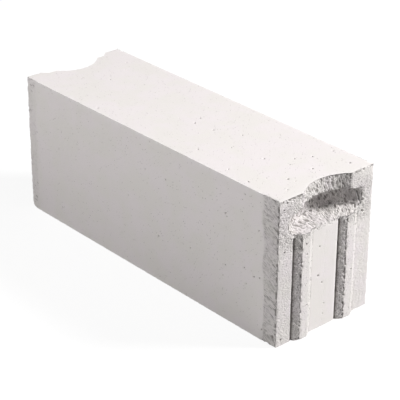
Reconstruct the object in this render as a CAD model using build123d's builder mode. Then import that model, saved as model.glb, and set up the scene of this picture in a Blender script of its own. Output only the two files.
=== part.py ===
"""Aerated concrete block with tongues, grooves and milled grip pockets.

The block is cut from one cake of aerated concrete, so it is one solid. The origin is the middle
of the body's bed on the ground: +X runs along the block to the tongue end, +Y across the wall
that it builds, and +Z up. Sizes are in millimetres.
"""
from build123d import *
from math import radians, tan
import os

# Body
length = 625
width = 200
height = 250

# Tongues on the +X end, one each side of the middle
tongue_spacing = 96
tongue_base_width = 40
tongue_crown_width = 16
tongue_depth = 7
tongue_crown_radius = 2

# Grooves in the -X end: the tongues of the next block with this gap all round
joint_gap = 3.5

# Grip pockets: each bites an arc out of the top face, of one chord and its own depth
bite_chord = 102
tongue_end_bite_depth = 18
groove_end_bite_depth = 32

# Section that both pockets share: a throat from the top face, and a wider space for fingers below
throat_height = 27
finger_undercut = 19
ceiling_drop = 8
floor_height = 182
floor_slope_degrees = 11
rim_radius = 9

# How far the milling tool reaches past the top face, so that no skin is left
overrun = 20

# Heights that follow from these
lip_height = height - throat_height
tongue_stock_height = (floor_height + lip_height) / 2


def key_profile(base_width, crown_width, depth):
    """Draw the trapezoid of a tongue or groove, from its base on the Y axis to x = depth."""
    with BuildSketch() as profile:
        with BuildLine():
            Polyline(
                (0, -base_width / 2),
                (depth, -crown_width / 2),
                (depth, crown_width / 2),
                (0, base_width / 2),
                close=True,
            )
        make_face()
        fillet(profile.vertices().group_by(Axis.X)[-1], tongue_crown_radius)
    return profile.sketch


def pocket_section(throat_radius, axis_to_face):
    """Draw half the section of a grip pocket's milling tool, with the tool's axis on Z."""
    rim = throat_radius + finger_undercut
    rise = tan(radians(floor_slope_degrees))
    with BuildSketch(Plane.XZ) as section:
        with BuildLine():
            Polyline(
                (0, floor_height - rise * axis_to_face),
                (rim, floor_height + rise * (rim - axis_to_face)),
                (rim, lip_height - ceiling_drop),
                (throat_radius, lip_height),
                (throat_radius, height + overrun),
                (0, height + overrun),
                close=True,
            )
        make_face()
        fillet(section.vertices().group_by(Axis.X)[-1], rim_radius)
    return section.sketch


def pocket_tool(bite_depth):
    """Make the space that the tool sweeps, and say how far its axis stands off the end face."""
    throat_radius = ((bite_chord / 2) ** 2 + bite_depth**2) / (2 * bite_depth)
    axis_to_face = throat_radius - bite_depth
    with BuildPart() as tool:
        revolve(pocket_section(throat_radius, axis_to_face), axis=Axis.Z)
    return tool.part, axis_to_face


tongue_profile = key_profile(tongue_base_width, tongue_crown_width, tongue_depth)
groove_profile = key_profile(
    tongue_base_width + 2 * joint_gap,
    tongue_crown_width + 2 * joint_gap,
    tongue_depth + joint_gap,
)
tongue_end_tool, tongue_end_axis = pocket_tool(tongue_end_bite_depth)
groove_end_tool, groove_end_axis = pocket_tool(groove_end_bite_depth)

with BuildPart() as block:
    # The body, with its grooves open through both beds
    with BuildSketch():
        Rectangle(length, width)
        with Locations((-length / 2, 0)):
            with GridLocations(0, tongue_spacing, 1, 2):
                add(groove_profile, mode=Mode.SUBTRACT)
    extrude(amount=height)

    # The tongues, which end inside the space that the grip pocket opens
    with BuildSketch():
        with Locations((length / 2, 0)):
            with GridLocations(0, tongue_spacing, 1, 2):
                add(tongue_profile)
    extrude(amount=tongue_stock_height)

    # Each grip pocket is milled last, so its floor also trims the tops of the tongues
    with Locations((length / 2 + tongue_end_axis, 0, 0)):
        add(tongue_end_tool, mode=Mode.SUBTRACT)
    with Locations((-length / 2 - groove_end_axis, 0, 0)):
        add(groove_end_tool, mode=Mode.SUBTRACT)

block.part.label = "block"
os.makedirs("parts", exist_ok=True)
export_step(block.part, "parts/block.step")
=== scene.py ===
"""Looks of the aerated concrete block: sawn faces, torn and milled ends, pores, worn arrises, and a studio.

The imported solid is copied, refined where its surface is rough, and pressed inwards by the relief of each
kind of surface, so that scratches, pores and crumbled arrises are real shape. Finer pores and the colour
are the material's. The block's surface is worked on in millimetres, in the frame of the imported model:
+X towards the tongues, -Y the front side, +Z up. Blender's objects are in metres.
"""
import math

import bmesh
import bpy
import numpy as np
from mathutils import Matrix, Vector
from mathutils.kdtree import KDTree


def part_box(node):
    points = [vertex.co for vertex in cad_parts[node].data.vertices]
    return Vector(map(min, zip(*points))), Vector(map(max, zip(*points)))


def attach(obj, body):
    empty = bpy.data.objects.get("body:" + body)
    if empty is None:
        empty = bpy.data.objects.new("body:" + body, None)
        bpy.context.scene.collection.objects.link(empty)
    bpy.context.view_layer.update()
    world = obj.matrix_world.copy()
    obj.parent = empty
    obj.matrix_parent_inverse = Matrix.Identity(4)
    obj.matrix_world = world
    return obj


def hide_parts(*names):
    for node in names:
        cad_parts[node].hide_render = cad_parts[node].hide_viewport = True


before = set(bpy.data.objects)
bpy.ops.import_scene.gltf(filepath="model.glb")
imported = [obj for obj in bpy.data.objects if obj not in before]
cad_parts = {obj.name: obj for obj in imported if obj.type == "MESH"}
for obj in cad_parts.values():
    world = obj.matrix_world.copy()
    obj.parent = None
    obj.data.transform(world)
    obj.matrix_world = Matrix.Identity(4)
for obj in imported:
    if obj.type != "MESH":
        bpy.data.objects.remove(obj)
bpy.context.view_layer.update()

MM = 0.001

# The block's sizes that its surfaces are told apart by, in millimetres
LOW, HIGH = (np.array(corner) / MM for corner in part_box("block"))
TONGUE_DEPTH = 7.0
TONGUE_OFFSET = 48.0
TONGUE_BASE_HALF = 20.0
TONGUE_CROWN_HALF = 8.0
OUTER_ROOT = TONGUE_OFFSET + TONGUE_BASE_HALF
INNER_ROOT = TONGUE_OFFSET - TONGUE_BASE_HALF
GROOVE_DEPTH = 10.5
FACE_TONGUE_END = HIGH[0] - TONGUE_DEPTH
FACE_GROOVE_END = LOW[0]
SIDE = HIGH[1]
TOP = HIGH[2]
BITE_HALF_CHORD = 51.0
UNDERCUT = 19.0
FLOOR_HEIGHT = 182.0
FLOOR_SLOPE = math.tan(math.radians(11))
LIP_HEIGHT = 223.0
CEILING_HEIGHT = 215.0
TONGUE_END_BITE = 18.0
GROOVE_END_BITE = 32.0

# Nothing closer than this to a face counts as off it
SKIN = 0.05

# Points so far outside a pocket's outline still count as its own, as its curved walls are in flat pieces
POCKET_SLACK = 0.3

# The painted shade below a pocket's lip starts this far behind the throat's wall
BEHIND_LIP = 2.0

# Camera, fitted to the block's corners in the photograph: place and reach in metres, angles in degrees,
# focal length in pixels of a picture so many pixels wide, and sensor in millimetres
CAMERA_PLACE = (1.7127, -1.4977, 1.2717)
CAMERA_REACH = 50.0
CAMERA_AZIMUTH = 48.41
CAMERA_ELEVATION = 27.26
CAMERA_ROLL = 0.29
FOCAL_PIXELS = 1534.4
IMAGE_PIXELS = 400
SENSOR = 36.0

# Softboxes: direction they stand in, in degrees from +X towards +Y and up, distance and width in metres,
# and the level that each gives a white face turned to it at the origin, where 1 is white
SOFTBOXES = {
    "key": (49, 40, 5.0, 1.4, 1.36),
    "fill": (-104, 30, 1.7, 1.2, 0.45),
}

# Light of the white world on the block, and the floor: width in metres, drop below the block in
# millimetres, the light it throws back on the block, and the glow and the lit part that the camera sees
SKY_LEVEL = 0.09
FLOOR_SIZE = 8.0
FLOOR_DROP = 0.2
FLOOR_BOUNCE = 0.5
FLOOR_GLOW = 0.89
FLOOR_SHADE = 0.16

# Large odd numbers that scatter a cell's place and a channel over 32 bits
CELL_FACTORS = (73856093, 19349663, 83492791)
CHANNEL_FACTOR = 668265263
MIX_FACTORS = (739982445, 695872825)
ALL_BITS = 0xFFFFFFFF

# Radii of the smallest and widest bubbles, as a share of their cell
SMALLEST_BUBBLE = 0.3
WIDEST_BUBBLE = 0.62


def ramp(low, high, value):
    """Rise smoothly from 0 at low to 1 at high."""
    t = np.clip((value - low) / (high - low), 0, 1)
    return t * t * (3 - 2 * t)


def cell_random(cells, channel):
    """Give each cell of a cubic lattice a fixed random number from 0 to 1."""
    x, y, z = (cells[..., k].astype(np.int64) * CELL_FACTORS[k] for k in range(3))
    mixed = (x ^ y ^ z ^ (channel * CHANNEL_FACTOR)) & ALL_BITS
    mixed = ((mixed ^ (mixed >> 15)) * MIX_FACTORS[0]) & ALL_BITS
    mixed = ((mixed ^ (mixed >> 12)) * MIX_FACTORS[1]) & ALL_BITS
    return (mixed ^ (mixed >> 15)) / ALL_BITS


def noise(points, size, channel, octaves=1):
    """Smooth random field from about -1 to 1, with features of the given size and finer ones over them.

    Each octave has half the size of the one before and the next channel, and no two fields share one.
    """
    total = np.zeros(len(points))
    for octave in range(octaves):
        scaled = points / (size / 2**octave)
        cell = np.floor(scaled)
        t = scaled - cell
        t = t * t * (3 - 2 * t)
        for corner in np.ndindex(2, 2, 2):
            weight = np.prod(np.where(corner, t, 1 - t), axis=1)
            total += weight * (cell_random(cell + corner, channel + octave) * 2 - 1) / 2**octave
    return total


def bubbles(points, size, channel, share):
    """Bowls of opened bubbles in a share of the cells: 0 between them, 1 in the middle of the widest."""
    scaled = points / size
    cell = np.floor(scaled)
    depth = np.zeros(len(points))
    for step in np.ndindex(3, 3, 3):
        at = cell + np.array(step) - 1
        centre = at + np.stack([cell_random(at, channel + k) for k in range(3)], axis=1)
        radius = SMALLEST_BUBBLE + (WIDEST_BUBBLE - SMALLEST_BUBBLE) * cell_random(at, channel + 3)
        there = cell_random(at, channel + 4) < share
        inside = 1 - ((scaled - centre) ** 2).sum(axis=1) / radius**2
        bowl = np.sqrt(np.clip(inside, 0, 1)) * radius / WIDEST_BUBBLE
        depth = np.maximum(depth, np.where(there, bowl, 0))
    return depth


def drawn_out(points, direction, stretch):
    """Squeeze space along a direction, so that what is made in it comes out longer that way."""
    unit = np.array(direction, float)
    unit /= np.linalg.norm(unit)
    return points - np.outer(points @ unit * (1 - 1 / stretch), unit)


class Pocket:
    """One grip pocket: a throat and a wider space under it, both round one upright axis."""

    def __init__(self, face, outwards, bite_depth):
        self.throat = (BITE_HALF_CHORD**2 + bite_depth**2) / (2 * bite_depth)
        self.rim = self.throat + UNDERCUT
        self.face = face
        self.outwards = outwards
        self.axis = face + outwards * (self.throat - bite_depth)
        self.rim_half_chord = math.sqrt(self.rim**2 - (self.axis - face) ** 2)

    def inset(self, points):
        """How far points lie behind the end face."""
        return (self.face - points[:, 0]) * self.outwards

    def radius(self, points):
        """How far points lie from the pocket's axis."""
        return np.hypot(points[:, 0] - self.axis, points[:, 1])

    def unrolled(self, points):
        """Coordinates along the wall, away from the axis, and up."""
        turn = np.arctan2(points[:, 1], (self.axis - points[:, 0]) * self.outwards)
        return np.stack([turn * self.rim, self.radius(points), points[:, 2]], axis=1)

    def inside(self, points):
        """Pick the points on the pocket's own walls, floor and ceiling, and on the keys' milled tops."""
        radius, height = self.radius(points), points[:, 2]
        lowest = FLOOR_HEIGHT + FLOOR_SLOPE * (radius - (self.axis - self.face) * self.outwards)
        within = (radius < self.rim + POCKET_SLACK) & (height > lowest - POCKET_SLACK)
        return within & (np.abs(self.inset(points)) > SKIN) & (height < TOP - SKIN)

    def undercut(self, points):
        """Pick the points of the space for fingers below the lip, which get painted shade."""
        behind = self.radius(points) > self.throat + BEHIND_LIP
        return self.inside(points) & behind & (points[:, 2] < LIP_HEIGHT)

    def mouth_distance(self, points):
        """Distance from points of the end face to the pocket's mouth in it: the throat or the wider space."""
        y, z = np.abs(points[:, 1]), points[:, 2]
        to_throat = np.hypot(np.clip(y - BITE_HALF_CHORD, 0, None), np.clip(CEILING_HEIGHT - z, 0, None))
        off_rim = np.maximum(np.clip(FLOOR_HEIGHT - z, 0, None), np.clip(z - CEILING_HEIGHT, 0, None))
        return np.minimum(to_throat, np.hypot(np.clip(y - self.rim_half_chord, 0, None), off_rim))


TONGUE_POCKET = Pocket(FACE_TONGUE_END, 1, TONGUE_END_BITE)
GROOVE_POCKET = Pocket(FACE_GROOVE_END, -1, GROOVE_END_BITE)
POCKETS = (TONGUE_POCKET, GROOVE_POCKET)


class Surface:
    """Points and triangles of the block while they are worked on, in millimetres."""

    def __init__(self, points, triangles):
        self.points = points
        self.triangles = triangles

    def edges(self):
        """List each edge once, and for each triangle the edges that follow its three corners."""
        t = self.triangles
        pairs = np.sort(np.concatenate([t[:, [0, 1]], t[:, [1, 2]], t[:, [2, 0]]]), axis=1)
        keys = pairs[:, 0] * len(self.points) + pairs[:, 1]
        _, first, index = np.unique(keys, return_index=True, return_inverse=True)
        return pairs[first], index.reshape(3, -1).T

    def normals(self):
        """Normal at each point, from the triangles round it."""
        a, b, c = (self.points[self.triangles[:, k]] for k in range(3))
        cross = np.cross(b - a, c - a)
        total = np.zeros_like(self.points)
        for k in range(3):
            np.add.at(total, self.triangles[:, k], cross)
        return total / np.maximum(np.linalg.norm(total, axis=1, keepdims=True), 1e-20)

    def refine(self, target):
        """Halve edges that are longer than their target until none is, keeping the surface closed."""
        while True:
            edges, sides = self.edges()
            a, b = self.points[edges[:, 0]], self.points[edges[:, 1]]
            middle = (a + b) / 2
            length = np.linalg.norm(b - a, axis=1)
            marked = length > target(middle)
            if not marked.any():
                return
            longest = np.argmax(length[sides], axis=1)
            longest_side = sides[np.arange(len(sides)), longest]
            missed = marked[sides].any(axis=1) & ~marked[longest_side]
            while missed.any():
                marked[longest_side[missed]] = True
                missed = marked[sides].any(axis=1) & ~marked[longest_side]
            number = np.full(len(edges), -1)
            number[marked] = len(self.points) + np.arange(marked.sum())
            self.points = np.concatenate([self.points, middle[marked]])
            order = (np.arange(3) + longest[:, None]) % 3
            corners = np.take_along_axis(self.triangles, order, axis=1)
            middles = number[np.take_along_axis(sides, order, axis=1)]
            self.triangles = self.split(corners, middles)

    @staticmethod
    def split(corners, middles):
        """Cut triangles through the middles of their marked edges, of which the first is the longest.

        A middle is the number of the new point there, or -1 where the edge isn't marked.
        """
        a, b, c = corners.T
        p, q, r = middles.T
        pieces = [corners[p < 0]]
        for has_q in (False, True):
            for has_r in (False, True):
                pick = (p >= 0) & ((q >= 0) == has_q) & ((r >= 0) == has_r)
                right = [(p, b, q), (p, q, c)] if has_q else [(p, b, c)]
                left = [(a, p, r), (r, p, c)] if has_r else [(a, p, c)]
                pieces += [np.stack([v[pick] for v in t], axis=1) for t in right + left]
        return np.concatenate(pieces)


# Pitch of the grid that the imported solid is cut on, and distance within which points are one, in millimetres
GRID_PITCH = 14.0
MERGE = 0.001

# Angles between faces: up to the first they are one flat face, above the second their edge is an arris or
# an inner corner, and above the last the finished mesh is shaded with a crease
FLAT_ANGLE = math.radians(0.4)
SHARP_ANGLE = math.radians(25)
CREASE_ANGLE = math.radians(50)


def packed_surface():
    """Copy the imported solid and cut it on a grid, so that its triangles have good shapes.

    Also gives points about a millimetre apart along its arrises, and along its inner corners.
    """
    bm = bmesh.new()
    bm.from_mesh(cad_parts["block"].data)
    bmesh.ops.scale(bm, vec=(1 / MM, 1 / MM, 1 / MM), verts=bm.verts)
    bmesh.ops.remove_doubles(bm, verts=bm.verts, dist=MERGE)
    bmesh.ops.dissolve_limit(bm, angle_limit=FLAT_ANGLE, verts=bm.verts, edges=bm.edges)
    arrises, corners = [], []
    for edge in bm.edges:
        if edge.calc_face_angle(0) > SHARP_ANGLE:
            a, b = (np.array(v.co) for v in edge.verts)
            steps = int(np.linalg.norm(b - a)) + 2
            line = arrises if edge.is_convex else corners
            line.extend(a + (b - a) * t for t in np.linspace(0, 1, steps))
    for axis in range(3):
        normal = np.eye(3)[axis]
        cuts = round((HIGH[axis] - LOW[axis]) / GRID_PITCH)
        for place in np.linspace(LOW[axis], HIGH[axis], cuts + 1)[1:-1]:
            geometry = bm.verts[:] + bm.edges[:] + bm.faces[:]
            bmesh.ops.bisect_plane(bm, geom=geometry, dist=MERGE, plane_co=normal * place, plane_no=normal)
    bmesh.ops.triangulate(bm, faces=bm.faces)
    bm.verts.index_update()
    points = np.array([v.co for v in bm.verts], float)
    triangles = np.array([[v.index for v in f.verts] for f in bm.faces])
    bm.free()
    return Surface(points, triangles), np.array(arrises), np.array(corners)


class Nearest:
    """Finds the nearest of a set of places."""

    def __init__(self, places):
        self.tree = KDTree(len(places))
        for i, place in enumerate(places):
            self.tree.insert(place, i)
        self.tree.balance()

    def find(self, points):
        """Give the number of the place nearest to each point, and how far away it is."""
        found = [self.tree.find(p)[1:] for p in points]
        return np.array([i for i, _ in found]), np.array([d for _, d in found])


# Depth of the relief of each kind of surface, in millimetres
WALL_RELIEF = 1.8
FLOOR_RELIEF = 1.6
MOUTH_RELIEF = 1.4
FRONT_STRIP_RELIEF = 0.65
BACK_STRIP_RELIEF = 0.45
FRONT_FLANK_RELIEF = 1.3
BACK_FLANK_RELIEF = 0.8
CROWN_RELIEF = 0.3
PANEL_RELIEF = 0.08
BAND_RELIEF = 1.5
FAR_BAND_SHARE = 0.35

# Torn bands on the long sides, at the tongue end and at the far end: width at the bed, how much wider they
# are at the top, where they set in about that line, and how far it wanders, broadly and finely
NEAR_BAND_WIDTH = 27.0
NEAR_BAND_WIDENING = 8.0
NEAR_BAND_ONSET = (-2.0, 3.0)
FAR_BAND_WIDTH = 20.0
FAR_BAND_WIDENING = 6.0
FAR_BAND_ONSET = (-3.0, 5.0)
BAND_WANDER = 3.0
BAND_WANDER_SIZE = 26.0
BAND_RAGGEDNESS = 1.5
BAND_RAGGEDNESS_SIZE = 6.0

# How far the relief blends across the edges of a key's crown and flanks, and into the outer strips
KEY_BLEND = 0.5
STRIP_BLEND = 2.0

# Torn surface round a pocket's mouth: how far it reaches between the keys' outer roots and beside them, the
# share of that reach in which it is whole, and how far its border wanders
KEY_MOUTH_REACH = 8.0
STRIP_MOUTH_REACH = 26.0
WHOLE_SHARE = 0.3
MOUTH_WANDER = 6.0
MOUTH_WANDER_SIZE = 22.0

# Upward part of a normal: up to the first value it is a wall's, and from the second a floor's
WALL_UP = 0.3
FLOOR_UP = 0.8


def on_side(points):
    """Pick the points on the two long sides."""
    return np.abs(points[:, 1]) > SIDE - SKIN


def band(points):
    """Torn bands on the long sides at both ends: 1 inside, fading to 0, wider towards the top."""
    height = points[:, 2] / TOP
    waves = BAND_WANDER * noise(points, BAND_WANDER_SIZE, channel=11, octaves=2)
    wander = waves + BAND_RAGGEDNESS * noise(points, BAND_RAGGEDNESS_SIZE, channel=13)
    near = NEAR_BAND_WIDTH + NEAR_BAND_WIDENING * height + wander - TONGUE_POCKET.inset(points)
    far = FAR_BAND_WIDTH + FAR_BAND_WIDENING * height + wander - GROOVE_POCKET.inset(points)
    torn = np.maximum(ramp(*NEAR_BAND_ONSET, near), FAR_BAND_SHARE * ramp(*FAR_BAND_ONSET, far))
    return np.where(on_side(points), torn, 0)


def key_and_strip_relief(y):
    """Relief across an end face away from the pocket: crowns, flanks, outer strips and the panel between."""
    off_middle = y - np.sign(y) * TONGUE_OFFSET
    off_key = np.abs(off_middle)
    off_crown = ramp(TONGUE_CROWN_HALF - KEY_BLEND, TONGUE_CROWN_HALF + KEY_BLEND, off_key)
    crown = CROWN_RELIEF * (1 - off_crown)
    on_flank = (off_key < TONGUE_BASE_HALF + KEY_BLEND) & (off_key > TONGUE_CROWN_HALF)
    flank = np.where(off_middle < 0, FRONT_FLANK_RELIEF, BACK_FLANK_RELIEF) * on_flank
    on_strip = ramp(OUTER_ROOT - STRIP_BLEND, OUTER_ROOT + STRIP_BLEND, np.abs(y))
    strip = np.where(y < 0, FRONT_STRIP_RELIEF, BACK_STRIP_RELIEF) * on_strip
    return np.maximum.reduce([crown, flank, strip, np.full(len(y), PANEL_RELIEF)])


def end_relief(points, pocket):
    """Relief of an end face: deep round the pocket, less on the outer strips, hardly any between the keys."""
    y, z = points[:, 1], points[:, 2]
    relief = key_and_strip_relief(y)
    wander = MOUTH_WANDER * noise(points, MOUTH_WANDER_SIZE, channel=21, octaves=2)
    reach = np.where(np.abs(y) < OUTER_ROOT, KEY_MOUTH_REACH, STRIP_MOUTH_REACH)
    near_mouth = 1 - ramp(WHOLE_SHARE, 1.0, (pocket.mouth_distance(points) + wander) / reach)
    relief = relief + (MOUTH_RELIEF - relief) * near_mouth
    inset = pocket.inset(points)
    shallow = (inset < GROOVE_DEPTH + SKIN) & (z < TOP - SKIN) & ~on_side(points)
    on_end = (inset < SKIN) | ((pocket is GROOVE_POCKET) & shallow)
    return np.where(on_end & (z > SKIN), relief, 0)


def pocket_relief(points, normals, pocket):
    """Relief of a pocket's milled surfaces: deep in its walls, less on its floor."""
    up = ramp(WALL_UP, FLOOR_UP, normals[:, 2])
    relief = WALL_RELIEF + (FLOOR_RELIEF - WALL_RELIEF) * up
    return np.where(pocket.inside(points), relief, 0)


def relief_depth(points, normals):
    """Depth of the relief at each point, by the kind of surface it is on."""
    parts = [BAND_RELIEF * band(points)]
    for pocket in POCKETS:
        parts.append(end_relief(points, pocket))
        parts.append(pocket_relief(points, normals, pocket))
    return np.maximum.reduce(parts)


# Which way the tool drew its streaks, and how many times longer than wide they are
BAND_STREAK = (1.0, 0.0, -0.45)
WALL_STREAK = (1.0, 0.0, -1.9)
FLOOR_STREAK = (0.0, 1.0, 0.0)
STREAK_STRETCH = 3.0
BAND_STRETCH = 5.0

# How much finer the grain of the bands and of the pocket's walls is than that of the other surfaces
BAND_FINENESS = 1.2
WALL_FINENESS = 1.25

# Least share of a band that is streaked, and least upward part of a normal that is streaked as a floor
STREAKED_BAND = 0.01
STREAKED_FLOOR_UP = 0.7


def grain_space(points, normals):
    """Coordinates in millimetres in which the streaks of every kind of surface are drawn out."""
    space = points.copy()
    torn_side = band(points) > STREAKED_BAND
    space[torn_side] = drawn_out(points[torn_side], BAND_STREAK, BAND_STRETCH) * BAND_FINENESS
    for pocket in POCKETS:
        inside = pocket.inside(points)
        floor_part = inside & (normals[:, 2] > STREAKED_FLOOR_UP)
        wall = inside & ~floor_part
        space[wall] = drawn_out(pocket.unrolled(points[wall]), WALL_STREAK, STREAK_STRETCH) * WALL_FINENESS
        space[floor_part] = drawn_out(pocket.unrolled(points[floor_part]), FLOOR_STREAK, STREAK_STRETCH)
    return space


# Longest edges of the surface by kind of place, in millimetres, or as a share of a large pore's radius
NEAR_POCKET_EDGE = 1.9
FAR_POCKET_EDGE = 3.6
NEAR_END_EDGE = 3.2
FAR_END_EDGE = 5.6
PANEL_EDGE = 7.0
BAND_EDGE = 2.7
ARRIS_EDGE = 3.2
NEAR_ARRIS_EDGE = 1.7
FAR_ARRIS_EDGE = 3.6
KEY_EDGE = 1.8
PLAIN_EDGE = 14.0
BED_EDGE = 12.0
PORE_EDGE_SHARE = 0.7

# How far those places reach, from an arris, from the end faces and as a share of a large pore's radius, and
# how fast the edges grow beyond that
ARRIS_REACH = 1.0
NEAR_END_REACH = 1.0
NEAR_BAND_REACH = 36.0
FAR_BAND_REACH = 27.0
PORE_REACH_SHARE = 1.1
GROWTH = 1.1

# Distances from the end faces within which arrises are near or far ones, least nearness to a key's torn
# line that counts, and how far the smooth panel stays off the roots and below the pocket's floor
NEAR_ARRIS_REACH = 3.0
FAR_ARRIS_REACH = 30.0
KEY_LINE_TRACE = 0.1
PANEL_MARGIN = 2.0
PANEL_DROP = 24.0

# Depth of a large pore, as a share of its radius
PORE_DEPTH = 1.1


def growing(edge, distance, reach):
    """Let an edge length grow with the distance beyond a reach."""
    return edge + GROWTH * np.clip(distance - reach, 0, None)


def edge_target(sharp, pores):
    """Say how long the surface's edges may be at each place."""
    sharp_places = Nearest(sharp)
    pore_places = Nearest([pore.centre for pore in pores])
    radii = np.array([pore.radius for pore in pores])

    def target(points):
        near, far = TONGUE_POCKET.inset(points), GROOVE_POCKET.inset(points)
        on_arris = np.where(near < NEAR_ARRIS_REACH, NEAR_ARRIS_EDGE, ARRIS_EDGE)
        on_arris = np.where(far < FAR_ARRIS_REACH, FAR_ARRIS_EDGE, on_arris)
        by_arris = growing(on_arris, sharp_places.find(points)[1], ARRIS_REACH)
        off_band = np.minimum(near - NEAR_BAND_REACH, far - FAR_BAND_REACH)
        by_band = np.where(on_side(points), growing(BAND_EDGE, off_band, 0), PLAIN_EDGE)
        near_end = growing(NEAR_END_EDGE, near, NEAR_END_REACH)
        by_end = np.minimum(near_end, growing(FAR_END_EDGE, far, GROOVE_DEPTH))
        by_end = np.where(is_panel(points), PANEL_EDGE, by_end)
        by_pocket = np.where(TONGUE_POCKET.inside(points), NEAR_POCKET_EDGE, PLAIN_EDGE)
        by_pocket = np.where(GROOVE_POCKET.inside(points), FAR_POCKET_EDGE, by_pocket)
        index, distance = pore_places.find(points)
        by_pore = growing(PORE_EDGE_SHARE * radii[index], distance, PORE_REACH_SHARE * radii[index])
        by_key = np.where(ragged_line(points) > KEY_LINE_TRACE, KEY_EDGE, PLAIN_EDGE)
        plain = np.full(len(points), PLAIN_EDGE)
        longest = np.minimum.reduce([by_arris, by_band, by_end, by_pocket, by_pore, by_key, plain])
        return np.where(points[:, 2] < SKIN, np.maximum(longest, BED_EDGE), longest)

    return target


def is_panel(points):
    """Pick the smooth panel between the keys, below the torn surface round the pocket."""
    return (np.abs(points[:, 1]) < INNER_ROOT - PANEL_MARGIN) & (points[:, 2] < FLOOR_HEIGHT - PANEL_DROP)


class Pore:
    """One large open pore in a sawn face."""

    def __init__(self, centre, radius):
        self.centre = centre
        self.radius = radius

    def bowl(self, points):
        """How deep the pore goes at each point."""
        distance = np.linalg.norm(points - self.centre, axis=1) / self.radius
        return PORE_DEPTH * self.radius * np.sqrt(np.clip(1 - distance**2, 0, 1))


# The largest pores that the photograph shows: x and y on the top, x and z on the front side, y and z on
# the tongue end's strips, crowns and panel, and the radius
TOP_PLACES = (
    (264, -36, 2.1), (264, 16, 1.9), (287, 74, 1.8), (221, 20, 1.7), (234, 46, 1.7), (240, 85, 1.9),
    (190, -15, 1.8), (99, -70, 1.7), (-128, -90, 1.8), (232, -87, 1.6), (290, -62, 1.5), (231, 0, 1.5),
)
SIDE_PLACES = (
    (304, 17, 2.4), (281, 19, 1.8), (274, 107, 1.7), (262, 104, 1.5), (240, 111, 1.5), (196, 187, 1.6),
)
STRIP_PLACES = (
    (-84, 244, 1.9), (-90, 234, 1.5), (-89, 11, 1.6), (-87, 162, 1.5), (-74, 205, 1.9), (79, 176, 1.6),
)
CROWN_PLACES = ((-48, 166, 1.8), (-46, 148, 1.4), (-42, 58, 1.4), (53, 85, 1.5))
PANEL_PLACES = ((-12, 146, 1.6), (-13, 95, 1.8), (-4, 80, 1.5), (2, 40, 1.2))

# How many more there are on each face, between which radii, and the seed that scatters them
TOP_PORES = 20
SIDE_PORES = 22
PANEL_PORES = 2
TOP_PORE_RADII = (0.9, 1.6)
SIDE_PORE_RADII = (0.8, 1.5)
PANEL_PORE_RADII = (0.9, 1.5)
PORE_SEED = 1052

# How far they stay off the two ends, off the long arrises of the top and of the sides, and off the bites
GROOVE_END_MARGIN = 8.0
TONGUE_END_MARGIN = 12.0
TOP_MARGIN = 8.0
SIDE_MARGIN = 6.0
BITE_MARGIN = 3.0

# Distances from the groove end, one of which each pore of a side stays beyond, so that most are near the
# tongues
SIDE_STARTS = (40, 250, 420)

# Part of the panel between the keys that has pores: half its width, and its lowest and highest places
PANEL_PORES_HALF = 24.0
PANEL_PORES_BOTTOM = 8.0
PANEL_PORES_TOP = 165.0


def scatter_pores():
    """Place the large pores that the photograph shows, and scatter more over the sawn faces."""
    draw = np.random.default_rng(PORE_SEED)
    pores = [Pore(np.array([x, y, TOP]), radius) for x, y, radius in TOP_PLACES]
    pores += [Pore(np.array([x, -SIDE, z]), radius) for x, z, radius in SIDE_PLACES]
    pores += [Pore(np.array([FACE_TONGUE_END, y, z]), radius) for y, z, radius in STRIP_PLACES + PANEL_PLACES]
    pores += [Pore(np.array([HIGH[0], y, z]), radius) for y, z, radius in CROWN_PLACES]

    def add(low, high, radius):
        """Add a pore at a random place between two corners, unless a bite has cut that place away."""
        centre = low + (high - low) * draw.random(3)
        if not (centre[2] == TOP and bitten(centre)):
            pores.append(Pore(centre, radius))

    for _ in range(TOP_PORES):
        low = LOW + (GROOVE_END_MARGIN, TOP_MARGIN, TOP)
        high = HIGH - (TONGUE_END_MARGIN, TOP_MARGIN, 0)
        add(low, high, draw.uniform(*TOP_PORE_RADII))
    for y in (-SIDE, SIDE):
        for _ in range(SIDE_PORES):
            low = np.array([LOW[0] + draw.choice(SIDE_STARTS), y, SIDE_MARGIN])
            high = np.array([HIGH[0] - TONGUE_END_MARGIN, y, TOP - SIDE_MARGIN])
            add(low, high, draw.uniform(*SIDE_PORE_RADII))
    for x in (FACE_TONGUE_END, FACE_GROOVE_END):
        for _ in range(PANEL_PORES):
            low = np.array([x, -PANEL_PORES_HALF, PANEL_PORES_BOTTOM])
            high = np.array([x, PANEL_PORES_HALF, PANEL_PORES_TOP])
            add(low, high, draw.uniform(*PANEL_PORE_RADII))
    return pores


def bitten(place):
    """Say if a place of the top face is cut away by a pocket, or is at the edge of its bite."""
    for pocket in POCKETS:
        if math.hypot(place[0] - pocket.axis, place[1]) < pocket.throat + BITE_MARGIN:
            return True
    return False


# Bottom corner that has been knocked: place, the way outwards from it, and the radius it is rounded to,
# which falls to 0 at the reach
KNOCKED_CORNER = np.array([FACE_GROOVE_END, -SIDE, 0])
KNOCKED_OUTWARDS = np.array([-1.0, -1.0, -1.0])
KNOCKED_RADIUS = 5.5
KNOCKED_REACH = 16.0

# Wear of the arrises, in millimetres, and the noise values between which their chips set in
WEAR_WIDTH = 1.9
WEAR_DEPTH = 0.2
CHIP_SIZE = 4.0
CHIP_ONSET = (0.0, 0.75)
SAWN_CHIP_DEPTH = 0.3
TORN_CHIP_DEPTH = 2.6

# Torn arrises are chipped only this deep near the groove end, the back side and the bed
FAR_CHIP_DEPTH = 0.9
SPARED_LENGTH = 40.0
SPARED_WIDTH = 6.0
SPARED_HEIGHT = 4.0

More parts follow.
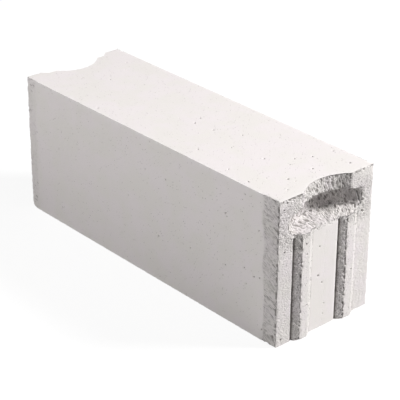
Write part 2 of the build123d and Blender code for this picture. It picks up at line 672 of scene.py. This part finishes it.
# Specks beside the arrises: size, depth, onset, how far from the arris they are whole and end, how far they
# reach from the tongue end and below the top, and how high above the bed they stop
SPECK_SIZE = 3.4
SPECK_DEPTH = 0.9
SPECK_ONSET = (-0.1, 0.15)
SPECK_WHOLE = 3.0
SPECK_END = 5.0
SPECK_REACH = 6.0
SPECK_DROP = 5.0
SPECK_BOTTOM = 3.0

# Tears round a pocket's mouth, and how far from its edge they are whole and end
MOUTH_WEAR = 0.9
MOUTH_TEAR_SIZE = 5.0
MOUTH_TEAR_ONSET = (-0.1, 0.9)
MOUTH_TEAR_DEPTH = 3.6
MOUTH_TEAR_WIDTH = 3.6
MOUTH_WHOLE = 1.0
MOUTH_END = 6.0

# Torn lines of the tongues: how far behind the end face and how close to the pocket's floor they reach, the
# crevice along the roots with the share of it that varies, and the tears along the crown edges
KEY_LINE_INSET = 1.5
KEY_LINE_DROP = 3.0
ROOT_WIDTH = 1.4
ROOT_DEPTH = 2.6
ROOT_EVEN_SHARE = 0.8
ROOT_UNEVEN_SHARE = 0.3
ROOT_UNEVEN_SIZE = 9.0
CROWN_TEAR_WIDTH = 1.6
CROWN_TEAR_DEPTH = 2.6
CROWN_TEAR_SIZE = 3.6
CROWN_TEAR_ONSET = (-0.1, 0.6)

# Torn relief, as shares of its depth: broad hollows about a middle depth, and opened bubbles in a share of
# the cells
HOLLOW_SIZE = 5.0
HOLLOW_MIDDLE = 0.5
HOLLOW_SWING = 0.45
HOLLOW_DEEPEST = 1.3
HOLLOW_SHARE = 0.45
BUBBLE_SIZE = 3.4
BUBBLED_CELLS = 0.75
BUBBLE_SHARE = 0.85

# How far the outlines of the large pores are bent, and the size of the bends
PORE_BEND = 0.7
PORE_BEND_SIZE = 1.9

# Depths at which relief, large pores and torn lines have the most painted shade, and how far an arris reads
# worn
DARKEST_RELIEF = 2.2
DARKEST_PORE = 1.6
DARKEST_TEAR = 2.0
WORN_REACH = 2.5

# Painted shade added in the space for fingers below a pocket's lip, over that of its relief alone
UNDERCUT_SHADE = 0.24


def arris_wear(points, distance, relief):
    """How far the arrises are worn and chipped, most where they bound a torn surface or a pocket's mouth."""
    chips = ramp(*CHIP_ONSET, noise(points, CHIP_SIZE, channel=51, octaves=2))
    torn = np.clip(relief, 0, 1)
    at_far_end = GROOVE_POCKET.inset(points) < SPARED_LENGTH
    spared = at_far_end | (points[:, 1] > SIDE - SPARED_WIDTH) | (points[:, 2] < SPARED_HEIGHT)
    deepest = np.where(spared, FAR_CHIP_DEPTH, TORN_CHIP_DEPTH)
    depth = WEAR_DEPTH + chips * (SAWN_CHIP_DEPTH + (deepest - SAWN_CHIP_DEPTH) * torn)
    torn_mouth = ramp(*MOUTH_TEAR_ONSET, noise(points, MOUTH_TEAR_SIZE, channel=57, octaves=2))
    tears = MOUTH_WEAR + MOUTH_TEAR_DEPTH * torn_mouth
    wear = depth * np.exp(-((distance / WEAR_WIDTH) ** 2))
    return wear + tears * at_mouth(points) * np.exp(-((distance / MOUTH_TEAR_WIDTH) ** 2))


def arris_specks(points, distance):
    """Small pits beside the tongue end's arrises, on the long sides and just below the top: 1 in them."""
    height = points[:, 2]
    below_top = (height > TOP - SPECK_DROP) & (height < TOP - SKIN)
    by_end = (TONGUE_POCKET.inset(points) < SPECK_REACH) & (height > SPECK_BOTTOM)
    pits = ramp(*SPECK_ONSET, noise(points, SPECK_SIZE, channel=83)) * ramp(SPECK_END, SPECK_WHOLE, distance)
    return np.where((on_side(points) | below_top) & by_end, pits, 0)


def at_mouth(points):
    """Nearness to the edge of a pocket's mouth in the end face: 1 on it, 0 away from it and at the top."""
    near = np.zeros(len(points))
    for pocket in POCKETS:
        beside = ramp(MOUTH_END, MOUTH_WHOLE, pocket.mouth_distance(points))
        near = np.maximum(near, beside * ramp(MOUTH_END, MOUTH_WHOLE, np.abs(pocket.inset(points))))
    return near * ramp(TOP - MOUTH_WHOLE, TOP - MOUTH_END, points[:, 2])


def round_corner(points):
    """Round off the bottom corner that has been knocked, and the arrises beside it ever less."""
    away = np.linalg.norm(points - KNOCKED_CORNER, axis=1)
    radius = (KNOCKED_RADIUS * ramp(KNOCKED_REACH, 0, away))[:, None]
    centre = KNOCKED_CORNER - KNOCKED_OUTWARDS * radius
    off = (points - centre) * KNOCKED_OUTWARDS
    beyond = np.clip(off, 0, None)
    length = np.linalg.norm(beyond, axis=1, keepdims=True)
    on_ball = beyond * radius / np.maximum(length, 1e-9)
    rounded = centre + KNOCKED_OUTWARDS * (np.minimum(off, 0) + on_ball)
    return np.where((length > radius) & (radius > 0), rounded, points)


def key_line(points, offset, width):
    """Nearness to a line up each tongue, so far from its middle: 1 on it, fading to 0 either side."""
    by_end = TONGUE_POCKET.inset(points) < KEY_LINE_INSET
    on_tongue_end = by_end & (points[:, 2] < FLOOR_HEIGHT - KEY_LINE_DROP)
    near = np.zeros(len(points))
    for middle in (-TONGUE_OFFSET, TONGUE_OFFSET):
        near = np.maximum(near, np.exp(-(((points[:, 1] - middle - offset) / width) ** 2)))
    return np.where(on_tongue_end, near, 0)


def root_line(points):
    """Nearness to the roots of the flanks that face the front side."""
    return key_line(points, -TONGUE_BASE_HALF, ROOT_WIDTH)


def crown_line(points):
    """Nearness to the crown edges of the same flanks."""
    return key_line(points, -TONGUE_CROWN_HALF, CROWN_TEAR_WIDTH)


def ragged_line(points):
    """Nearness to either of these torn lines."""
    return np.maximum(root_line(points), crown_line(points))


def key_tears(points):
    """Crevice along those roots, and tears along those crown edges."""
    uneven = ROOT_EVEN_SHARE + ROOT_UNEVEN_SHARE * noise(points, ROOT_UNEVEN_SIZE, channel=61)
    crevice = ROOT_DEPTH * root_line(points) * uneven
    torn = ramp(*CROWN_TEAR_ONSET, noise(points, CROWN_TEAR_SIZE, channel=67, octaves=2))
    return crevice + CROWN_TEAR_DEPTH * crown_line(points) * torn


def torn_hollows(space):
    """How deep torn relief goes at each point of grain space, as a share of its depth."""
    broad = HOLLOW_MIDDLE + HOLLOW_SWING * noise(space, HOLLOW_SIZE, channel=31, octaves=3)
    broad = np.clip(broad, 0, HOLLOW_DEEPEST)
    opened = bubbles(space, BUBBLE_SIZE, channel=41, share=BUBBLED_CELLS)
    return HOLLOW_SHARE * broad + BUBBLE_SHARE * opened


def pore_bowls(points, pores):
    """How deep the large pores go at each point, with bent outlines."""
    bends = [noise(points, PORE_BEND_SIZE, channel) for channel in (71, 73, 75)]
    bent = points + PORE_BEND * np.stack(bends, axis=1)
    bowls = np.zeros(len(points))
    for pore in pores:
        bowls = np.maximum(bowls, pore.bowl(bent))
    return bowls


def press_relief(surface, arrises, pores):
    """Press the relief into the surface, and say for each point what the material needs to know of it.

    Gives how torn the surface is, how much painted shade it gets and how worn it is, and the grain space.
    """
    points, normals = surface.points, surface.normals()
    space = grain_space(points, normals)
    relief = relief_depth(points, normals)
    hollow_and_painted_shade = torn_hollows(space)
    _, distance = Nearest(arrises).find(points)
    tears = key_tears(points)
    wear = arris_wear(points, distance, relief)
    bowls = pore_bowls(points, pores)
    specks = arris_specks(points, distance)
    depth = relief * hollow_and_painted_shade + wear + tears + bowls + SPECK_DEPTH * specks
    surface.points = round_corner(points - normals * depth[:, None])
    # Painted shade below the pockets' lips
    shade = sum(UNDERCUT_SHADE * pocket.undercut(points) for pocket in POCKETS)
    # Painted shade, darker in deep relief, large pores, torn lines and specks
    painted_shade = relief * hollow_and_painted_shade / DARKEST_RELIEF + bowls / DARKEST_PORE + tears / DARKEST_TEAR + specks + shade
    marks = {
        "torn": np.clip(relief, 0, 1),
        "hollow_and_painted_shade": np.clip(painted_shade, 0, 1),
        "worn": np.exp(-distance / WORN_REACH) * (1 - specks),
    }
    return marks, space


def make_block():
    """Make the block's own mesh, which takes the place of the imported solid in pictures."""
    pores = scatter_pores()
    surface, arrises, corners = packed_surface()
    surface.refine(edge_target(np.concatenate([arrises, corners]), pores))
    marks, space = press_relief(surface, arrises, pores)
    mesh = bpy.data.meshes.new("aerated_block")
    mesh.from_pydata((surface.points * MM).tolist(), [], surface.triangles.tolist())
    mesh.shade_smooth()
    mesh.set_sharp_from_angle(angle=CREASE_ANGLE)
    for name, values in marks.items():
        mesh.attributes.new(name, "FLOAT", "POINT").data.foreach_set("value", values)
    mesh.attributes.new("grain", "FLOAT_VECTOR", "POINT").data.foreach_set("vector", space.ravel())
    mesh.attributes.new("spot", "FLOAT_VECTOR", "POINT").data.foreach_set("vector", surface.points.ravel())
    mesh.materials.append(block_material())
    block = bpy.data.objects.new("aerated_block", mesh)
    bpy.context.scene.collection.objects.link(block)
    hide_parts("block")
    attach(block, "root")


# Colours, as linear light
CLEAN = (0.80, 0.752, 0.752)
CAST = (0.785, 0.75, 0.725)
# The dark colour below is painted shade, laid in pores, slots, specks and hollows
PAINTED_SHADE_COLOUR = (0.28, 0.26, 0.245)
PALE = (0.90, 0.88, 0.865)

# Sizes of the material's features, in millimetres
COARSE_PORE_SIZE = 3.2
FINE_PORE_SIZE = 1.3
GRAIN_SIZE = 1.9
GRAIN_ROUGHNESS = 0.6
MOTTLE_SIZE = 38.0
MOTTLE_DETAIL = 3.0
SPECKLE_SIZE = 4.5
PATCH_SIZE = 7.0

# Radii of the widest pores as a share of their cell, where sawn and where torn, how much rarer wide ones
# are than small ones, and the part of the radius in which a pore is whole
COARSE_PORE_RADII = (0.27, 0.60)
FINE_PORE_RADII = (0.22, 0.55)
PORE_RARITY = 3.0
PORE_WHOLE = 0.5

# Values of noise, wear and painted hollow shade between which each kind of mark sets in
MOTTLE_ONSET = (0.35, 0.65)
SLOT_ONSET = (0.46, 0.38)
SPECKLE_ONSET = (0.52, 0.60)
SPECKLED_WEAR = (0.3, 0.9)
DARK_ONSET = (0.3, 0.9)
PATCH_ONSET = (0.3, 0.7)

# How far the painted shade covers the other colours in each kind of mark
COARSE_PORE_COVER = 0.75
FINE_PORE_COVER = 0.40
SLOT_COVER = 0.48
SPECKLE_COVER = 0.7
DARK_COVER = 0.9

# Power of the torn value by which slots fade out where the surface is less torn
SLOT_FADE = 2.0

# How far the pale colour covers a worn arris between patches and in them, and how much of that a torn one
# keeps
PALE_COVER = (0.1, 0.7)
TORN_PALE_SHARE = 0.4

# How high the grain is where sawn and where torn, and how deep fine pores are, in depths of a coarse pore
GRAIN_HEIGHTS = (0.15, 3.0)
GRAIN_MIDDLE = 0.5
FINE_PORE_DEPTH = 0.5

# Roughness of the clean colour and of the cast one, and the shine of both
ROUGHNESS = (0.88, 0.97)
SPECULAR = 0.2

# Numbers of the colour sockets of a node that mixes colours: the two inputs and the output
MIX_INPUTS = (6, 7)
MIX_OUTPUT = 2


class Nodes:
    """Adds shader nodes to a tree, set and linked in one step."""

    def __init__(self, tree):
        self.tree = tree

    def add(self, kind, inputs, **settings):
        """Add a node. Each input is a constant or the socket that feeds it."""
        node = self.tree.nodes.new("ShaderNode" + kind)
        for name, value in settings.items():
            setattr(node, name, value)
        for name, value in inputs.items():
            socket = node.inputs[name]
            if isinstance(value, bpy.types.NodeSocket):
                self.tree.links.new(value, socket)
            else:
                socket.default_value = value
        return node

    def math(self, operation, first, second):
        """Work out one sum of two values."""
        return self.add("Math", {0: first, 1: second}, operation=operation).outputs[0]

    def attribute(self, name, output):
        """Read a value that the mesh has at each point."""
        return self.add("Attribute", {}, attribute_name=name).outputs[output]

    def noise(self, vector, size, detail=2.0, roughness=0.5):
        """Noise from 0 to 1 with features of a size in millimetres."""
        inputs = {"Vector": vector, "Scale": 1 / size, "Detail": detail, "Roughness": roughness}
        return self.add("TexNoise", inputs).outputs["Fac"]

    def ramp(self, value, low, high, to_low=0.0, to_high=1.0):
        """Map a value smoothly from one range to another."""
        inputs = {"Value": value, "From Min": low, "From Max": high, "To Min": to_low, "To Max": to_high}
        return self.add("MapRange", inputs, interpolation_type="SMOOTHSTEP").outputs["Result"]

    def mix(self, factor, first, second):
        """Mix two colours."""
        node = self.add("Mix", {"Factor": factor}, data_type="RGBA")
        for number, value in zip(MIX_INPUTS, (first, second)):
            if isinstance(value, bpy.types.NodeSocket):
                self.tree.links.new(value, node.inputs[number])
            else:
                node.inputs[number].default_value = (*value, 1)
        return node.outputs[MIX_OUTPUT]

    def pores(self, vector, size, torn, sawn_radius, torn_radius):
        """Round pores, one to a cell: 1 inside. Few and small where sawn, more and larger where torn."""
        cells = self.add("TexVoronoi", {"Vector": vector, "Scale": 1 / size})
        draw = self.add("SeparateColor", {"Color": cells.outputs["Color"]}).outputs[0]
        widest = self.ramp(torn, 0.0, 1.0, sawn_radius, torn_radius)
        radius = self.math("MULTIPLY", self.math("POWER", draw, PORE_RARITY), widest)
        whole = self.math("MULTIPLY", radius, PORE_WHOLE)
        return self.ramp(cells.outputs["Distance"], radius, whole)


def painted_shade_marks(n, torn, worn, coarse, fine, grain):
    """How far painted shade darkens pores, streaky slots, specks at torn arrises and hollows."""
    slots = n.math("MULTIPLY", n.ramp(grain, *SLOT_ONSET), n.math("POWER", torn, SLOT_FADE))
    speckle = n.ramp(n.noise(n.attribute("spot", "Vector"), SPECKLE_SIZE), *SPECKLE_ONSET)
    specks = n.math("MULTIPLY", speckle, n.math("MULTIPLY", torn, n.ramp(worn, *SPECKLED_WEAR)))
    hollow_painted_shade = n.ramp(n.attribute("hollow_and_painted_shade", "Fac"), *DARK_ONSET)
    others = ((fine, FINE_PORE_COVER), (slots, SLOT_COVER), (specks, SPECKLE_COVER), (hollow_painted_shade, DARK_COVER))
    painted_shade = n.math("MULTIPLY", coarse, COARSE_PORE_COVER)
    for mark, cover in others:
        painted_shade = n.math("MAXIMUM", painted_shade, n.math("MULTIPLY", mark, cover))
    return painted_shade


def pale_marks(n, place, torn, worn):
    """How far worn arrises are made paler: in patches, and less where they are torn."""
    patches = n.ramp(n.noise(place, PATCH_SIZE), *PATCH_ONSET, *PALE_COVER)
    pale = n.math("MULTIPLY", worn, patches)
    return n.math("MULTIPLY", pale, n.ramp(torn, 0.0, 1.0, 1.0, TORN_PALE_SHARE))


def fine_relief(n, torn, coarse, fine, grain):
    """Normal of the pores and grain that are too fine for the mesh."""
    above_middle = n.math("SUBTRACT", grain, GRAIN_MIDDLE)
    lift = n.math("MULTIPLY", above_middle, n.ramp(torn, 0.0, 1.0, *GRAIN_HEIGHTS))
    depth = n.math("MAXIMUM", coarse, n.math("MULTIPLY", fine, FINE_PORE_DEPTH))
    height = n.math("SUBTRACT", lift, depth)
    return n.add("Bump", {"Height": height, "Distance": MM, "Strength": 1.0}).outputs["Normal"]


def block_material():
    """Pale, matt, porous concrete: mottled, with pores, grain, painted shade in hollows and paler arrises."""
    material = bpy.data.materials.new("aerated_concrete")
    material.use_nodes = True
    n = Nodes(material.node_tree)
    place = n.attribute("grain", "Vector")
    torn = n.attribute("torn", "Fac")
    worn = n.attribute("worn", "Fac")
    coarse = n.pores(place, COARSE_PORE_SIZE, torn, *COARSE_PORE_RADII)
    fine = n.pores(place, FINE_PORE_SIZE, torn, *FINE_PORE_RADII)
    grain = n.noise(place, GRAIN_SIZE, roughness=GRAIN_ROUGHNESS)
    mottle = n.ramp(n.noise(place, MOTTLE_SIZE, detail=MOTTLE_DETAIL), *MOTTLE_ONSET)
    colour = n.mix(mottle, CLEAN, CAST)
    colour = n.mix(painted_shade_marks(n, torn, worn, coarse, fine, grain), colour, PAINTED_SHADE_COLOUR)
    colour = n.mix(pale_marks(n, place, torn, worn), colour, PALE)
    shader = material.node_tree.nodes["Principled BSDF"]
    shader.inputs["Specular IOR Level"].default_value = SPECULAR
    material.node_tree.links.new(colour, shader.inputs["Base Color"])
    material.node_tree.links.new(n.ramp(mottle, 0, 1, *ROUGHNESS), shader.inputs["Roughness"])
    material.node_tree.links.new(fine_relief(n, torn, coarse, fine, grain), shader.inputs["Normal"])
    return material


def softbox(name, azimuth, elevation, distance, width, level):
    """Hang a square soft light that looks at the origin."""
    data = bpy.data.lights.new(name, "AREA")
    data.size = width
    data.energy = level * (math.pi * distance) ** 2
    obj = bpy.data.objects.new(name, data)
    a, e = math.radians(azimuth), math.radians(elevation)
    away = Vector((math.cos(a) * math.cos(e), math.sin(a) * math.cos(e), math.sin(e)))
    obj.location = away * distance
    obj.rotation_mode = "QUATERNION"
    obj.rotation_quaternion = away.to_track_quat("Z", "Y")
    obj.visible_camera = False
    bpy.context.scene.collection.objects.link(obj)


def seen_directly(n):
    """Give a socket that is 1 for camera, mirror and glass rays, and 0 for those that light matt faces."""
    path = n.add("LightPath", {})
    mirrored = n.math("MAXIMUM", path.outputs["Is Camera Ray"], path.outputs["Is Glossy Ray"])
    return n.math("MAXIMUM", mirrored, path.outputs["Is Transmission Ray"])


def sky():
    """White world to look at, which lights the block only faintly."""
    world = bpy.data.worlds.new("studio")
    bpy.context.scene.world = world
    world.use_nodes = True
    n = Nodes(world.node_tree)
    background = world.node_tree.nodes["Background"]
    background.inputs["Color"].default_value = (1, 1, 1, 1)
    strength = n.ramp(seen_directly(n), 0, 1, SKY_LEVEL, 1.0)
    world.node_tree.links.new(strength, background.inputs["Strength"])


def floor():
    """Make the plain floor, a hair below the block."""
    mesh = bpy.data.meshes.new("floor")
    half = FLOOR_SIZE / 2
    corners = [(-half, -half, 0), (half, -half, 0), (half, half, 0), (-half, half, 0)]
    mesh.from_pydata(corners, [], [(0, 1, 2, 3)])
    obj = bpy.data.objects.new("floor", mesh)
    obj.location.z = -FLOOR_DROP * MM
    bpy.context.scene.collection.objects.link(obj)
    mesh.materials.append(floor_material())


def floor_material():
    """Plain pale floor that reads white to the camera and still shows the block's soft shadow."""
    material = bpy.data.materials.new("floor")
    material.use_nodes = True
    tree = material.node_tree
    tree.nodes.clear()
    n = Nodes(tree)
    bounce = n.add("BsdfDiffuse", {"Color": (FLOOR_BOUNCE, FLOOR_BOUNCE, FLOOR_BOUNCE, 1)})
    shade = n.add("BsdfDiffuse", {"Color": (FLOOR_SHADE, FLOOR_SHADE, FLOOR_SHADE, 1)})
    glow = n.add("Emission", {"Strength": FLOOR_GLOW})
    seen = n.add("AddShader", {0: shade.outputs[0], 1: glow.outputs[0]})
    mix = n.add("MixShader", {0: seen_directly(n), 1: bounce.outputs[0], 2: seen.outputs[0]})
    n.add("OutputMaterial", {"Surface": mix.outputs[0]})
    return material


def camera():
    """Place the camera where the photograph was taken from."""
    data = bpy.data.cameras.new("camera")
    data.sensor_width = SENSOR
    data.lens = FOCAL_PIXELS * SENSOR / IMAGE_PIXELS
    data.clip_end = CAMERA_REACH
    a, e, r = (math.radians(v) for v in (CAMERA_AZIMUTH, CAMERA_ELEVATION, CAMERA_ROLL))
    back = Vector((math.sin(a) * math.cos(e), -math.cos(a) * math.cos(e), math.sin(e)))
    right = Vector((math.cos(a), math.sin(a), 0))
    up = back.cross(right)
    turned_right = right * math.cos(r) + up * math.sin(r)
    turned_up = up * math.cos(r) - right * math.sin(r)
    obj = bpy.data.objects.new("camera", data)
    turn = Matrix((turned_right, turned_up, back)).transposed().to_4x4()
    obj.matrix_world = Matrix.Translation(CAMERA_PLACE) @ turn
    bpy.context.scene.collection.objects.link(obj)
    bpy.context.scene.camera = obj


camera()
sky()
floor()
for light, setting in SOFTBOXES.items():
    softbox(light, *setting)
make_block()
bpy.context.scene.view_settings.view_transform = "Standard"
